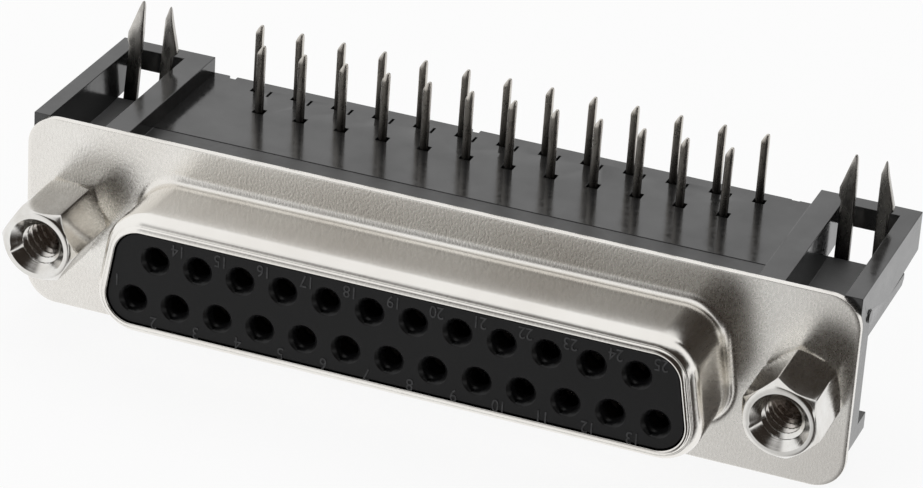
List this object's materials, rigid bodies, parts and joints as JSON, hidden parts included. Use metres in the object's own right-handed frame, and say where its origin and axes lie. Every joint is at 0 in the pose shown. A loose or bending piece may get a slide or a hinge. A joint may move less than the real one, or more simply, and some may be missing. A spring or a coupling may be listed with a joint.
{
  "type": "d-sub connector",
  "caption": "Right-angle D-sub socket connector for a circuit board, with plated shell, jack sockets, forked board locks and two rows of solder tails.",
  "frame": {"origin": "midway between the two jack sockets, in the plane of their outer faces", "axes": "+X along the connector, -Y out of the shell towards the plug, +Z out of the board face the solder tails leave through"},
  "size_m": [0.053, 0.0191, 0.0166],
  "materials": {
    "shell_plating": "satin nickel plating",
    "insulator_plastic": "fine matte",
    "housing_plastic": "semi gloss",
    "contact_tin": "satin tin plating",
    "lock_tin": "tin plated",
    "screw_nickel": "bright nickel"
  },
  "bodies": {
    "root": {"front_shell": "shell_plating", "front_insulator": "insulator_plastic", "rear_housing": "housing_plastic", "tail_organiser": "housing_plastic", "contact_01": "contact_tin", "contact_02": "contact_tin", "contact_03": "contact_tin", "contact_04": "contact_tin", "contact_05": "contact_tin", "contact_06": "contact_tin", "contact_07": "contact_tin", "contact_08": "contact_tin", "contact_09": "contact_tin", "contact_10": "contact_tin", "contact_11": "contact_tin", "contact_12": "contact_tin", "contact_13": "contact_tin", "contact_14": "contact_tin", "contact_15": "contact_tin", "contact_16": "contact_tin", "contact_17": "contact_tin", "contact_18": "contact_tin", "contact_19": "contact_tin", "contact_20": "contact_tin", "contact_21": "contact_tin", "contact_22": "contact_tin", "contact_23": "contact_tin", "contact_24": "contact_tin", "contact_25": "contact_tin", "board_lock_left": "lock_tin", "board_lock_right": "lock_tin", "jack_socket_left": "screw_nickel", "jack_socket_right": "screw_nickel", "lock_nut_left": "screw_nickel", "lock_nut_right": "screw_nickel"}
  },
  "joints": []
}
